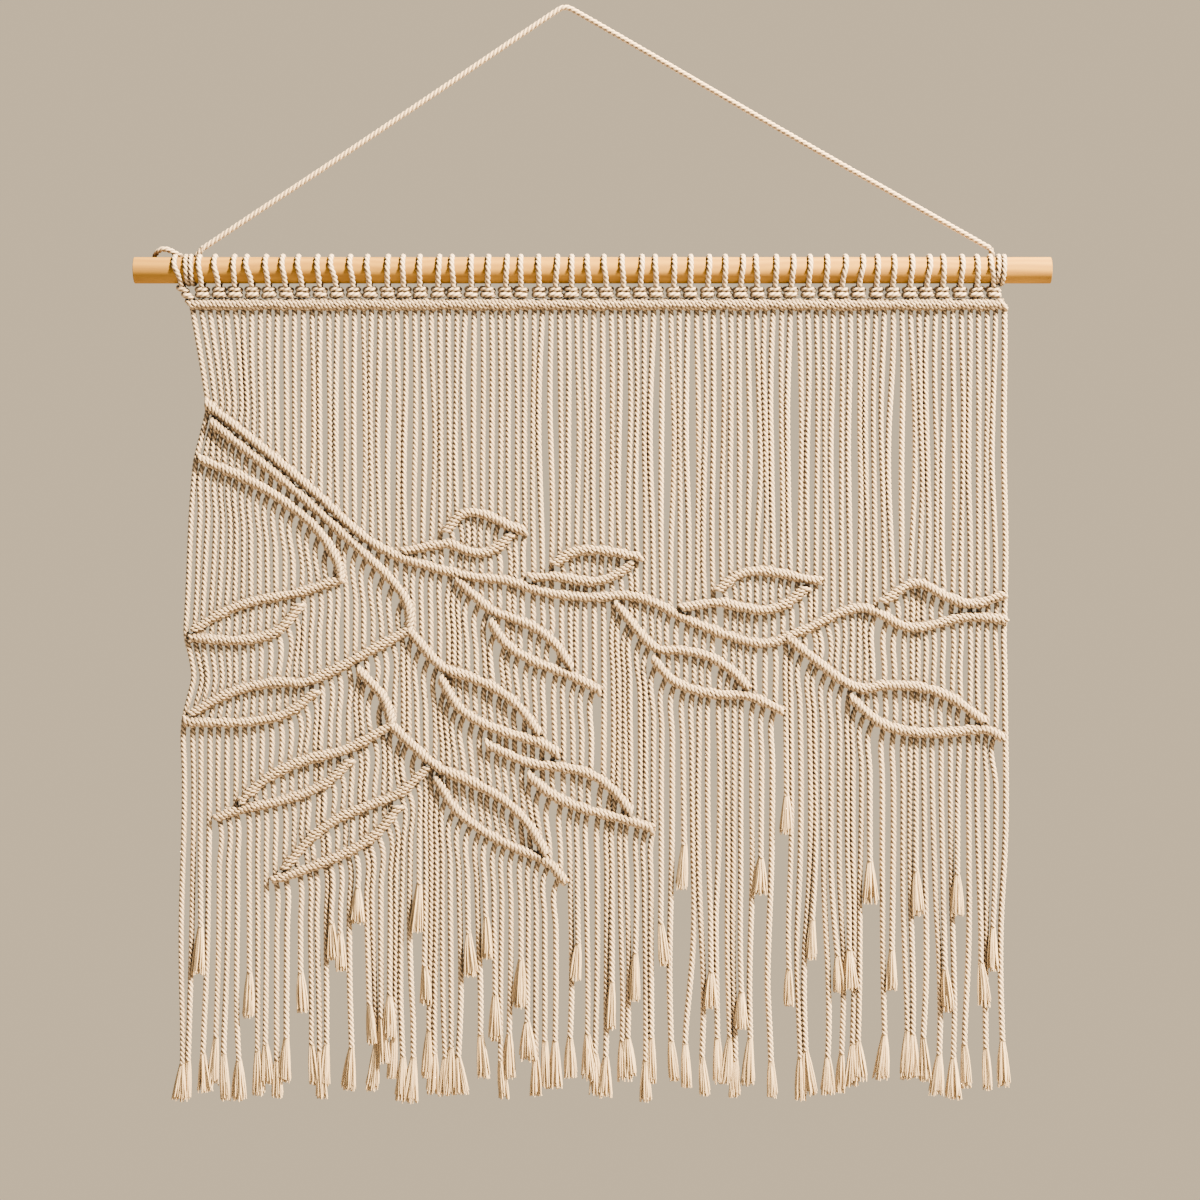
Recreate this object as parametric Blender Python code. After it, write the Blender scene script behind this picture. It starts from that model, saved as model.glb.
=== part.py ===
"""Macrame wall hanging: cotton cord knotted into a leafy branch, hung from a round pine rod.

Metres, +Z up. The origin is the point where a hook carries the hanging cord. +X runs along
the rod to the viewer's right, and the front faces -Y. Tables of places are in millimetres.
"""

import math
from collections import namedtuple

import bmesh
import bpy
from mathutils import Matrix, Vector

MM = 0.001
CLEARANCE = 0.0003

# The rod
ROD_LENGTH = 0.700
ROD_DIAMETER = 0.020
ROD_LEFT_END = -0.329
ROD_DROP = 0.199
ROD_SIDES = 32

# The cotton cord that everything is made of
CORD_DIAMETER = 0.004

# The heading: one loop over the rod for each folded cord, on a row of small knots
LOOPS = 46
FIRST_LOOP_X = -0.2675
LOOP_PITCH = 0.01303
END_LOOP_X = -0.2925
LOOP_CORNERS = 8
LOOP_THICKNESS = 0.0042
LOOP_WIDTH = 0.0046
LOOP_DROP = 0.0030
KNOT_ROW_DROP = 0.0177
KNOT_ROW_HEIGHT = 0.0062
KNOT_ROW_DEPTH = 0.0096
KNOT_WAIST = 0.72

# The header bar and the strands that hang from it, at a wider pitch than the real cords
STRANDS = 60
STRAND_LEFT = -0.2850
STRAND_PITCH = 0.01052
STRAND_WIDTH = 0.0062
STRAND_DEPTH = 0.0046
HEADER_DROP = 0.0262
HEADER_HEIGHT = 0.0092
HEADER_OVERHANG = 0.0035
HEM = -0.829
HEM_STAGGER = 0.0022
TUFT_LENGTH = 0.032
TUFT_WIDTH = 0.0104
TUFT_DEPTH = 0.0110
TUFT_SHOULDER = 0.35

# The knotted bars
BAR_HEIGHT = 0.0076
BAR_DEPTH = 0.0092
BAR_FORWARD = 0.0008
BAR_LAYER = 0.00037
BAR_LAYERS = 5
RIDGE_SPACING = 0.019
RIDGE_SHARE = 0.10

# The turns that tie the hanging cord to the rod: a ring of three ridges on each side
WRAP_TURNS = 3
WRAP_PITCH = 0.0042
WRAP_CREST_RADIUS = 0.0142
WRAP_VALLEY_RADIUS = 0.0131
WRAP_CREST_SHARE = 0.6
WRAP_STEPS = 20
WRAP_XS = {"cord_wrap_left": -0.2810, "cord_wrap_right": 0.3285}

# A place on the panel
Waypoint = namedtuple("Waypoint", "x z")

# The branch, from the left edge to the right one
BRANCH = (
    Waypoint(-274, -301),
    Waypoint(-241, -327),
    Waypoint(-192, -368),
    Waypoint(-157, -400),
    Waypoint(-126, -418),
    Waypoint(-77, -432),
    Waypoint(-45, -436),
    Waypoint(-15, -445),
    Waypoint(20, -449),
    Waypoint(57, -449),
    Waypoint(105, -471),
    Waypoint(150, -484),
    Waypoint(180, -475),
    Waypoint(225, -457),
    Waypoint(264, -472),
    Waypoint(306, -464),
    Waypoint(337, -466),
)

# The cord from the left turns over the hook to the right turns
HANGING_CORD = (
    Waypoint(-277, -182.4),
    Waypoint(-235, -154.4),
    Waypoint(-190, -124.6),
    Waypoint(-145, -94.5),
    Waypoint(-100, -64.2),
    Waypoint(-60, -37.0),
    Waypoint(-32, -17.9),
    Waypoint(-16, -7.1),
    Waypoint(-8, -1.8),
    Waypoint(-3.5, 1.1),
    Waypoint(0, 2.0),
    Waypoint(3.5, 1.3),
    Waypoint(8, -1.1),
    Waypoint(17, -6.2),
    Waypoint(36, -17.1),
    Waypoint(70, -36.7),
    Waypoint(115, -62.8),
    Waypoint(165, -91.7),
    Waypoint(215, -120.2),
    Waypoint(270, -151.2),
    Waypoint(325, -182.4),
)
CORD_POINT_SPACING = 0.012

# Stems that leave the branch, each one bar
STEMS = {
    "under_branch": (
        Waypoint(-270, -315),
        Waypoint(-210, -364),
        Waypoint(-157, -412),
        Waypoint(-128, -441),
        Waypoint(-119, -459),
        Waypoint(-119, -473),
    ),
    "spray": (
        Waypoint(-279, -343),
        Waypoint(-233, -364),
        Waypoint(-194, -392),
        Waypoint(-175, -419),
        Waypoint(-171, -435),
    ),
    "twig": (
        Waypoint(-158, -504),
        Waypoint(-139, -525),
        Waypoint(-132, -546),
    ),
    "last_bud": (
        Waypoint(243, -452),
        Waypoint(268, -438),
        Waypoint(292, -449),
        Waypoint(312, -454),
        Waypoint(335, -447),
    ),
}

# A leaf is two bars. The near side starts on the branch at the stem and bulges by near_bulge
# between base and tip; the far side starts below the base, bulges the other way, meets the
# tip and runs on to the end. hangs is 1 for a leaf whose far side is below, -1 for one that
# stands up.
Leaf = namedtuple("Leaf", "name stem base tip end near_bulge far_bulge hangs")
LEAVES = (
    Leaf("west_1", (-171, -435), (-202, -445), (-283, -474), (-288, -480), 6, 15, 1),
    Leaf("west_2", (-119, -474), (-190, -511), (-285, -538), (-291, -542), 8, 12, 1),
    Leaf("west_3", (-132, -546), (-164, -564), (-248, -605), (-267, -618), 8, 9, 1),
    Leaf("west_4", (-105, -579), (-127, -599), (-214, -656), (-224, -665), 10, 10, 1),
    Leaf("middle_1", (-119, -474), (-95, -501), (-19, -554), (-4, -569), 10, 12, 1),
    Leaf("middle_2", (-83, -435), (-57, -458), (5, -503), (28, -521), 9, 8, 1),
    Leaf("middle_3", (-60, -561), (-28, -575), (51, -614), (68, -626), 13, 7, 1),
    Leaf("middle_4", (-132, -547), (-99, -577), (-14, -645), (1, -667), 12, 11, 1),
    Leaf("east_1", (38, -453), (67, -486), (141, -519), (167, -536), 10, 11, 1),
    Leaf("east_2", (170, -480), (218, -516), (320, -544), (334, -556), 13, 15, 1),
    Leaf("bud_1", (-123, -414), (-91, -408), (-41, -401), (-30, -398), 11, 13, -1),
    Leaf("bud_2", (-26, -434), (-8, -433), (51, -423), (58, -418), 9, 8, -1),
    Leaf("bud_3", (89, -457), (117, -453), (185, -441), (196, -436), 12, 11, -1),
)

# Where along a leaf the points of its bulge lie. The near side bulges most beyond its middle,
# the far side before it.
LEAF_SHARES = (0.25, 0.5, 0.75)
NEAR_SKEW = 1.2
FAR_SKEW = 0.75

# How far apart the two sides lie at the base and at the tip, in bar heights
APART_AT_BASE = 1.25
APART_AT_TIP = 0.75

# How far the knotting draws the left edge in or out at each height
EdgePull = namedtuple("EdgePull", "z shift")
LEFT_EDGE = (
    EdgePull(-226, 0),
    EdgePull(-304, 12),
    EdgePull(-345, 3),
    EdgePull(-478, -5),
    EdgePull(-510, 1),
    EdgePull(-540, -6),
    EdgePull(-829, -8),
)
EDGE_REACH = 0.035
PULLED_WIDTH = 0.052

# Strands that the knotting has used up end above the hem
ShortEnd = namedtuple("ShortEnd", "x z")
SHORT_ENDS = (
    ShortEnd(-277, -736),
    ShortEnd(-241, -768),
    ShortEnd(-200, -765),
    ShortEnd(-177, -724),
    ShortEnd(-157, -698),
    ShortEnd(-136, -784),
    ShortEnd(-110, -704),
    ShortEnd(-75, -737),
    ShortEnd(-37, -761),
    ShortEnd(11, -740),
    ShortEnd(38, -778),
    ShortEnd(70, -728),
    ShortEnd(92, -670),
    ShortEnd(111, -764),
    ShortEnd(146, -676),
    ShortEnd(167, -629),
    ShortEnd(190, -724),
    ShortEnd(229, -683),
    ShortEnd(251, -748),
    ShortEnd(270, -690),
    ShortEnd(289, -764),
    ShortEnd(301, -692),
    ShortEnd(329, -733),
)


def clear_scene():
    for leftover in list(bpy.data.objects):
        bpy.data.objects.remove(leftover, do_unlink=True)


def material(name, colour, roughness):
    made = bpy.data.materials.new(name)
    made.use_nodes = True
    shader = made.node_tree.nodes["Principled BSDF"]
    shader.inputs["Base Color"].default_value = (*colour, 1.0)
    shader.inputs["Roughness"].default_value = roughness
    shader.inputs["Metallic"].default_value = 0.0
    return made


def add_object(name, bm, finish):
    bmesh.ops.recalc_face_normals(bm, faces=bm.faces)
    mesh = bpy.data.meshes.new(name)
    bm.to_mesh(mesh)
    bm.free()
    if finish:
        mesh.materials.append(finish)
    made = bpy.data.objects.new(name, mesh)
    bpy.context.scene.collection.objects.link(made)
    return made


# --- Curves ---


def smooth_curve(waypoints, spacing):
    """Points about a spacing apart on a smooth curve through the waypoints."""
    before_first = 2 * waypoints[0] - waypoints[1]
    after_last = 2 * waypoints[-1] - waypoints[-2]
    knots = [before_first, *waypoints, after_last]
    points = [waypoints[0].copy()]
    for before, start, end, after in zip(knots, knots[1:], knots[2:], knots[3:]):
        steps = max(1, round((end - start).length / spacing))
        for step in range(1, steps + 1):
            t = step / steps
            points.append(
                0.5
                * (
                    2 * start
                    + (end - before) * t
                    + (2 * before - 5 * start + 4 * end - after) * t**2
                    + (3 * start - before - 3 * end + after) * t**3
                )
            )
    return points


def on_panel(x_mm, z_mm):
    """A place on the panel, with the bars a little in front of the strands."""
    return Vector((x_mm * MM, -BAR_FORWARD, z_mm * MM))


def bulged(start, end, bulge, skew):
    """Points between start and end, pushed up off the straight line by a rounded bulge."""
    along = (end - start).normalized()
    up = Vector((-along.z, 0, along.x))
    if up.z < 0:
        up.negate()
    height = {share: bulge * MM * math.sin(math.pi * share**skew) for share in LEAF_SHARES}
    return [start.lerp(end, share) + up * height[share] for share in LEAF_SHARES]


def leaf_sides(leaf):
    """The near side, from the stem to the tip, and the far side, which runs past the tip."""
    stem, base, tip, end = (on_panel(*place) for place in leaf[1:5])
    apart = Vector((0, 0, -leaf.hangs * BAR_HEIGHT))
    far_base, far_tip = base + apart * APART_AT_BASE, tip + apart * APART_AT_TIP
    near = bulged(base, tip, leaf.hangs * leaf.near_bulge, NEAR_SKEW)
    far = bulged(far_base, far_tip, -leaf.hangs * leaf.far_bulge, FAR_SKEW)
    return [stem, base, *near, tip], [far_base, *far, far_tip, end]


# --- Swept solids ---

# How far a cross-section is turned, for its faces and corners to point the right way
FLAT_TOP = math.radians(45)
RIDGE_IN_FRONT = math.radians(60)
RIDGE_OUTSIDE = math.radians(90)

# A square ring's corners reach this much further than its flat sides
CORNER_REACH = math.sqrt(2)


def ring(bm, centre, along, depth_axis, width, depth, sides, turn):
    """One cross-section ring of a swept solid; returns its edges."""
    side_axis = depth_axis.cross(along).normalized()
    frame = Matrix((side_axis * width / 2, depth_axis * depth / 2, along)).transposed()
    place = Matrix.Translation(centre) @ frame.to_4x4() @ Matrix.Rotation(turn, 4, "Z")
    made = bmesh.ops.create_circle(bm, segments=sides, radius=1.0, matrix=place)
    return list({edge for vert in made["verts"] for edge in vert.link_edges})


def sweep(bm, points, sections, depth_axis, sides, turn, closed=False):
    """A tube through the points; sections gives the width and depth at each of them."""
    rings = []
    last = len(points) - 1
    for index, (point, (width, depth)) in enumerate(zip(points, sections)):
        before = points[index - 1 if closed else max(index - 1, 0)]
        after = points[(index + 1) % len(points) if closed else min(index + 1, last)]
        along = (after - before).normalized()
        rings.append(ring(bm, point, along, depth_axis, width, depth, sides, turn))
    for first, second in zip(rings, rings[1:]):
        bmesh.ops.bridge_loops(bm, edges=first + second)
    if closed:
        bmesh.ops.bridge_loops(bm, edges=rings[-1] + rings[0])
    else:
        bmesh.ops.holes_fill(bm, edges=rings[0] + rings[-1], sides=sides)


# --- The rod, its cord and the heading ---


def build_rod(finish):
    bm = bmesh.new()
    middle = Vector((ROD_LEFT_END + ROD_LENGTH / 2, 0, -ROD_DROP))
    along_x = Matrix.Translation(middle) @ Matrix.Rotation(math.radians(90), 4, "Y")
    bmesh.ops.create_cone(
        bm,
        cap_ends=True,
        segments=ROD_SIDES,
        radius1=ROD_DIAMETER / 2,
        radius2=ROD_DIAMETER / 2,
        depth=ROD_LENGTH,
        matrix=along_x,
    )
    add_object("rod", bm, finish)


def build_hanging_cord(finish):
    waypoints = [Vector((point.x * MM, 0, point.z * MM)) for point in HANGING_CORD]
    points = smooth_curve(waypoints, CORD_POINT_SPACING)
    curve = bpy.data.curves.new("hanging_cord", "CURVE")
    curve.dimensions = "3D"
    curve.bevel_depth = CORD_DIAMETER / 2
    curve.bevel_resolution = 2
    curve.use_fill_caps = True
    spline = curve.splines.new("POLY")
    spline.points.add(len(points) - 1)
    for target, point in zip(spline.points, points):
        target.co = (*point, 1.0)
    curve.materials.append(finish)
    cord = bpy.data.objects.new("hanging_cord", curve)
    bpy.context.scene.collection.objects.link(cord)


def wrap_profile():
    """Half a section through the turns: x along the rod, and the radius there."""
    inner = (ROD_DIAMETER / 2 + CLEARANCE) / math.cos(math.pi / WRAP_STEPS)
    half_width = WRAP_PITCH * WRAP_TURNS / 2
    crest = WRAP_PITCH * WRAP_CREST_SHARE / 2
    profile = [(half_width, inner), (-half_width, inner)]
    for turn in range(WRAP_TURNS):
        middle = -half_width + WRAP_PITCH * (turn + 0.5)
        profile.append((middle - WRAP_PITCH / 2, WRAP_VALLEY_RADIUS))
        profile.append((middle - crest, WRAP_CREST_RADIUS))
        profile.append((middle + crest, WRAP_CREST_RADIUS))
    profile.append((half_width, WRAP_VALLEY_RADIUS))
    return profile


def build_wrap(name, middle_x, finish):
    """The turns as one turned ring, with a groove between each two of them."""
    bm = bmesh.new()
    centre = Vector((middle_x, 0, -ROD_DROP))
    profile = [centre + Vector((x, 0, radius)) for x, radius in wrap_profile()]
    verts = [bm.verts.new(point) for point in profile]
    edges = [bm.edges.new(pair) for pair in zip(verts, verts[1:] + verts[:1])]
    bmesh.ops.spin(
        bm,
        geom=verts + edges,
        cent=centre,
        axis=(1, 0, 0),
        angle=math.tau,
        steps=WRAP_STEPS,
        use_merge=True,
    )
    add_object(name, bm, finish)


def loop_path(x):
    """The loop's way over the front of the rod and back behind it, drawn down to its knot."""
    inner = (ROD_DIAMETER / 2 + CLEARANCE) / math.cos(math.pi / LOOP_CORNERS)
    radius = inner + LOOP_THICKNESS / 4
    points = []
    for corner in range(LOOP_CORNERS):
        angle = math.tau * corner / LOOP_CORNERS
        y, z = -radius * math.sin(angle), radius * math.cos(angle)
        if corner == LOOP_CORNERS // 2:
            z -= LOOP_DROP
        points.append(Vector((x, y, z - ROD_DROP)))
    return points


def build_loop(name, x):
    bm = bmesh.new()
    points = loop_path(x)
    sections = [(LOOP_THICKNESS, LOOP_WIDTH)] * len(points)
    sweep(bm, points, sections, Vector((1, 0, 0)), 3, RIDGE_OUTSIDE, closed=True)
    return add_object(name, bm, None)


def build_heading(finish):
    """The loops over the rod, joined by the row of knots: a knot swells under each loop."""
    loop_xs = [END_LOOP_X] + [FIRST_LOOP_X + LOOP_PITCH * index for index in range(LOOPS)]
    loops = [build_loop(f"loop_{index}_guide", x) for index, x in enumerate(loop_xs)]
    right = loop_xs[-1] + LOOP_PITCH
    knots = round((right - END_LOOP_X) / LOOP_PITCH)
    left = right - knots * LOOP_PITCH
    points, sections = [], []
    for half in range(-1, 2 * knots + 2):
        x = left + half * LOOP_PITCH / 2
        size = CORNER_REACH * (1 if half % 2 == 0 else KNOT_WAIST)
        points.append(Vector((x, -BAR_FORWARD, -ROD_DROP - KNOT_ROW_DROP)))
        sections.append((KNOT_ROW_HEIGHT * size, KNOT_ROW_DEPTH * size))
    bm = bmesh.new()
    sweep(bm, points, sections, Vector((0, 1, 0)), 4, FLAT_TOP)
    union(add_object("heading", bm, finish), loops)


# --- The strands ---


def left_edge_shift(z):
    """The knotting's pull on the left edge at this height."""
    for upper, lower in zip(LEFT_EDGE, LEFT_EDGE[1:]):
        if z >= lower.z * MM:
            share = (upper.z * MM - z) / ((upper.z - lower.z) * MM)
            return (upper.shift + (lower.shift - upper.shift) * share) * MM
    return LEFT_EDGE[-1].shift * MM


def strand_x(root_x, z):
    """Where a strand hangs at this height: the pull dies out away from the left edge."""
    reach = math.exp(-((root_x - STRAND_LEFT) / EDGE_REACH) ** 2)
    return root_x + left_edge_shift(z) * reach


def strand_end(index, root_x):
    """The height at which a strand ends: early, or near the hem in an uneven row."""
    for short in SHORT_ENDS:
        if abs(short.x * MM - root_x) < STRAND_PITCH / 2:
            return short.z * MM
    return HEM + HEM_STAGGER * (index * 2 % 3)


def strand_path(index):
    """The points and sections of one strand, from the header bar to its frayed end."""
    root_x = STRAND_LEFT + STRAND_PITCH * index
    end = strand_end(index, root_x)
    neck = end + TUFT_LENGTH
    heights = [-ROD_DROP - HEADER_DROP]
    if root_x - STRAND_LEFT < PULLED_WIDTH:
        heights += [pull.z * MM for pull in LEFT_EDGE[1:-1]]
    heights += [neck, neck - TUFT_LENGTH * TUFT_SHOULDER, end]
    points = [Vector((strand_x(root_x, z), 0, z)) for z in heights]
    plain = (STRAND_WIDTH, STRAND_DEPTH)
    opening = ((STRAND_WIDTH + TUFT_WIDTH) / 2, (STRAND_DEPTH + TUFT_DEPTH) / 2)
    sections = [plain] * (len(points) - 2) + [opening, (TUFT_WIDTH, TUFT_DEPTH)]
    return points, sections


def build_strands():
    bm = bmesh.new()
    for index in range(STRANDS):
        points, sections = strand_path(index)
        sweep(bm, points, sections, Vector((0, 1, 0)), 3, RIDGE_IN_FRONT)
    return add_object("strands_guide", bm, None)


# --- The bars ---


def build_bar(name, waypoints, height=BAR_HEIGHT, layer=0):
    """A row of hitches: a flattened bar whose knots swell and narrow along it.

    Bars that cross or share a knot lie on different layers, each a little further forward.
    """
    forward = Vector((0, -BAR_LAYER * (layer % BAR_LAYERS), 0))
    points = [point + forward for point in smooth_curve(waypoints, RIDGE_SPACING)]
    swell = [CORNER_REACH * (1 + RIDGE_SHARE * (-1) ** index) for index in range(len(points))]
    sections = [(height * size, BAR_DEPTH * size) for size in swell]
    bm = bmesh.new()
    sweep(bm, points, sections, Vector((0, 1, 0)), 4, FLAT_TOP)
    return add_object(name, bm, None)


def build_header(finish):
    z = -ROD_DROP - HEADER_DROP
    left = Vector((STRAND_LEFT - HEADER_OVERHANG, -BAR_FORWARD, z))
    last_strand = STRAND_LEFT + STRAND_PITCH * (STRANDS - 1)
    right = Vector((last_strand + HEADER_OVERHANG, -BAR_FORWARD, z))
    header = build_bar("macrame", [left, right], HEADER_HEIGHT)
    header.data.materials.append(finish)
    return header


def guide_collection(name, members):
    """Shapes that are only joined into another one, kept out of sight."""
    made = bpy.data.collections.new(name)
    bpy.context.scene.collection.children.link(made)
    for member in members:
        for holder in list(member.users_collection):
            holder.objects.unlink(member)
        made.objects.link(member)
        member.hide_render = True
        member.display_type = "WIRE"
    return made


def union(target, members):
    """Joins the members to the target as one closed body."""
    modifier = target.modifiers.new("joined", "BOOLEAN")
    modifier.operation = "UNION"
    modifier.operand_type = "COLLECTION"
    modifier.collection = guide_collection(target.name + "_guides", members)
    modifier.solver = "EXACT"


def build_macrame(finish):
    bars = {"branch": [on_panel(*point) for point in BRANCH]}
    for name, waypoints in STEMS.items():
        bars[name] = [on_panel(*point) for point in waypoints]
    for leaf in LEAVES:
        near, far = leaf_sides(leaf)
        bars[leaf.name + "_near"] = near
        bars[leaf.name + "_far"] = far
    members = [build_strands()]
    for layer, (name, waypoints) in enumerate(bars.items(), start=1):
        members.append(build_bar(name + "_guide", waypoints, layer=layer))
    union(build_header(finish), members)


def main():
    clear_scene()
    cotton = material("cotton_cord", (0.79, 0.70, 0.57), 0.9)
    pine = material("pine", (0.76, 0.50, 0.20), 0.5)
    build_rod(pine)
    build_hanging_cord(cotton)
    for name, middle_x in WRAP_XS.items():
        build_wrap(name, middle_x, cotton)
    build_heading(cotton)
    build_macrame(cotton)


main()
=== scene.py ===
# %% [markdown]
# # A macrame wall hanging
# The real piece is cotton cord and one round rod. Folded cords are looped over the rod, a
# header bar turns them into 96 hanging strands, and rows of hitches tied across the strands
# draw a branch with leaves. Every strand ends in a frayed tuft.
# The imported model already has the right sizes, with plain solids. This script loads it as a
# fixed frame and dresses it with real twisted cord.

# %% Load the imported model
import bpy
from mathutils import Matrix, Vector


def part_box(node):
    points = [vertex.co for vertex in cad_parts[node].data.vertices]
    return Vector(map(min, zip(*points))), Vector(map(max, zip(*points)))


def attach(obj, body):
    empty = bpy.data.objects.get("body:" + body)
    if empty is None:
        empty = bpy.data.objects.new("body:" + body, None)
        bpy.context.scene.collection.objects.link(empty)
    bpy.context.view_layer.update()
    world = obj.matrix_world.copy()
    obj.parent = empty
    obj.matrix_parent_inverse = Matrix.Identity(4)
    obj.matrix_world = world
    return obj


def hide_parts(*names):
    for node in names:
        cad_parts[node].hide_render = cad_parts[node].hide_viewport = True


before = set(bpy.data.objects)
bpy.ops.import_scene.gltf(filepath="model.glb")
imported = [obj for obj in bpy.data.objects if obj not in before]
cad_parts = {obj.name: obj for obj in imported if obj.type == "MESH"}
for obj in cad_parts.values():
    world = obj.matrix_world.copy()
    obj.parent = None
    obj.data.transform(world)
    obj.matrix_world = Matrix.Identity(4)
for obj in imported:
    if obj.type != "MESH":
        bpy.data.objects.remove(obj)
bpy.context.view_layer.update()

# %% Tools used below
import math
import random
from collections import namedtuple

import bmesh
import bpy
import numpy
from mathutils import Matrix, Vector, noise

MM = 0.001
chance = random.Random(31)


def add_object(name, data):
    """A new object in the scene, at the origin."""
    made = bpy.data.objects.new(name, data)
    bpy.context.scene.collection.objects.link(made)
    return made


print("lengths are in metres, and a number in millimetres is multiplied by", MM)

# %% [markdown]
# ## The camera
# A wall hanging is photographed square on, from far enough away that the strands stay
# parallel. A longer lens does that: the camera stands where its view is as wide as the
# photograph's, and looks straight at the panel.

# %% Camera
VIEW_MIDDLE = Vector((0.0267, 0.0, -0.4509))
VIEW_WIDTH = 0.917
LENS = 85.0
SENSOR = 36.0

lens_data = bpy.data.cameras.new("camera")
lens_data.lens = LENS
lens_data.sensor_width = SENSOR
camera = add_object("camera", lens_data)
camera.location = VIEW_MIDDLE + Vector((0, -VIEW_WIDTH * LENS / SENSOR, 0))
camera.rotation_euler = (math.radians(90), 0, 0)
bpy.context.scene.camera = camera
print("camera stands", round(-camera.location.y, 3), "m in front of the panel")

# %% [markdown]
# ## Nodes written as expressions
# Materials and Geometry Nodes are both graphs of small nodes. A graph reads best as a formula,
# so one class wraps a socket and lets Python's own operators add the Math nodes. The reflected
# forms make `1 - mask` work too. Any other node comes from one method, `add`.

# %% Sockets that work in expressions


class Value:
    """One output socket of a node graph, ready to be used in an expression."""

    def __init__(self, graph, socket):
        self.graph = graph
        self.socket = socket

    def math(self, operation, *values):
        return self.graph.add("ShaderNodeMath", {"operation": operation}, dict(enumerate(values)))

    def __add__(self, other):
        return self.math("ADD", self, other)

    def __radd__(self, other):
        return self.math("ADD", other, self)

    def __sub__(self, other):
        return self.math("SUBTRACT", self, other)

    def __rsub__(self, other):
        return self.math("SUBTRACT", other, self)

    def __mul__(self, other):
        return self.math("MULTIPLY", self, other)

    def __rmul__(self, other):
        return self.math("MULTIPLY", other, self)

    def __mod__(self, other):
        return self.math("MODULO", self, other)


print("sockets can now be used in sums, differences, products and remainders")

# %% A graph that nodes are added to


class Graph:
    """A node tree, with one method that adds any node and two for what is added most."""

    def __init__(self, tree):
        self.tree = tree

    def add(self, kind, settings=None, inputs=None, output=0):
        """Adds a node, sets it up, fills its sockets, and returns one of its outputs."""
        made = self.tree.nodes.new(kind)
        for name, value in (settings or {}).items():
            setattr(made, name, value)
        for key, value in (inputs or {}).items():
            self.plug(self.find(made.inputs, key), value)
        return Value(self, made.outputs[output])

    def find(self, sockets, key):
        """A socket by its number, its identifier or its name."""
        if isinstance(key, int):
            return sockets[key]
        exact = [socket for socket in sockets if socket.identifier == key]
        return exact[0] if exact else sockets[key]

    def plug(self, socket, value):
        """Links a socket to a value of the graph, or sets it to a plain one."""
        if isinstance(value, Value):
            self.tree.links.new(value.socket, socket)
        elif socket.type == "RGBA" and len(value) == 3:
            socket.default_value = (*value, 1.0)
        else:
            socket.default_value = value

    def mix(self, factor, first, second):
        """Mixes two colours."""
        settings = {"data_type": "RGBA", "blend_type": "MIX"}
        inputs = {"Factor_Float": factor, "A_Color": first, "B_Color": second}
        return self.add("ShaderNodeMix", settings, inputs, output=2)

    def noise(self, place, size, detail=2.0):
        """Noise whose lumps measure size, three lengths in metres."""
        inputs = {0: place, 1: Vector([1 / length for length in size])}
        stretched = self.add("ShaderNodeVectorMath", {"operation": "MULTIPLY"}, inputs)
        inputs = {"Vector": stretched, "Scale": 1.0, "Detail": detail}
        return self.add("ShaderNodeTexNoise", None, inputs)


print("a graph can add nodes, mixed colours and noise")

# %% [markdown]
# ## A rope from a line
# Macrame cord is three plies twisted together. It could be modelled ply by ply, but a hundred
# strands would be far too heavy. Instead, Geometry Nodes sweeps one lobed outline along each
# line and turns it a little at every ring, so that its three lobes wind round like plies. The
# outline stores how far it is sunk between its lobes, and a material paints shade into those
# grooves.

# %% The cord's sizes
CORD_DIAMETER = 0.0046
PLIES = 3
LAY = 0.0118
RINGS_PER_LAY = 6

# Grooves lie at this share of the radius, and are shallower where a cord bends tightly
GROOVE = 0.62
BENT_GROOVE = 0.68
BENT_RING_GAP = 0.0013
print("a strand is", CORD_DIAMETER, "m thick and its plies wind round once in", LAY, "m")

# %% A sweep as a node group


def sweep_group(name, sides, groove=1.0, lay=None, ring_gap=None):
    """Geometry Nodes that sweep an outline along every curve, scaled by the curve's radius.

    Only a cord with a lay, the length of one turn of its plies, gets lobes and rings.
    """
    tree = bpy.data.node_groups.new(name, "GeometryNodeTree")
    for direction in ("INPUT", "OUTPUT"):
        tree.interface.new_socket("Geometry", in_out=direction, socket_type="NodeSocketGeometry")
    graph = Graph(tree)
    lines = graph.add("NodeGroupInput")
    inputs = {"Resolution": sides, "Radius": 1.0}
    outline = graph.add("GeometryNodeCurvePrimitiveCircle", {"mode": "RADIUS"}, inputs)
    if lay:
        inputs = {"Curve": lines, "Length": ring_gap}
        lines = graph.add("GeometryNodeResampleCurve", {"mode": "LENGTH"}, inputs)
        along = graph.add("GeometryNodeSplineParameter", output="Length")
        inputs = {"Curve": lines, "Tilt": along * (-math.tau / lay)}
        lines = graph.add("GeometryNodeSetCurveTilt", None, inputs)
        # The first point of each lobe is sunk into a groove, and the others stay on the circle
        place_in_lobe = graph.add("GeometryNodeInputIndex") % (sides // PLIES)
        sunk = (1 - place_in_lobe.math("MINIMUM", place_in_lobe, 1.0)) * (1 - groove)
        place = graph.add("GeometryNodeInputPosition")
        inputs = {0: place, "Scale": 1 - sunk}
        lobed = graph.add("ShaderNodeVectorMath", {"operation": "SCALE"}, inputs)
        inputs = {"Geometry": outline, "Position": lobed}
        outline = graph.add("GeometryNodeSetPosition", None, inputs)
        inputs = {"Geometry": outline, "Name": "sunk", "Value": sunk}
        outline = graph.add("GeometryNodeStoreNamedAttribute", None, inputs)
    radius = graph.add("GeometryNodeInputRadius")
    inputs = {"Curve": lines, "Profile Curve": outline, "Scale": radius, "Fill Caps": True}
    mesh = graph.add("GeometryNodeCurveToMesh", None, inputs)
    smooth = graph.add("GeometryNodeSetShadeSmooth", None, {"Geometry": mesh})
    tree.links.new(smooth.socket, tree.nodes.new("NodeGroupOutput").inputs[0])
    return tree


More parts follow.
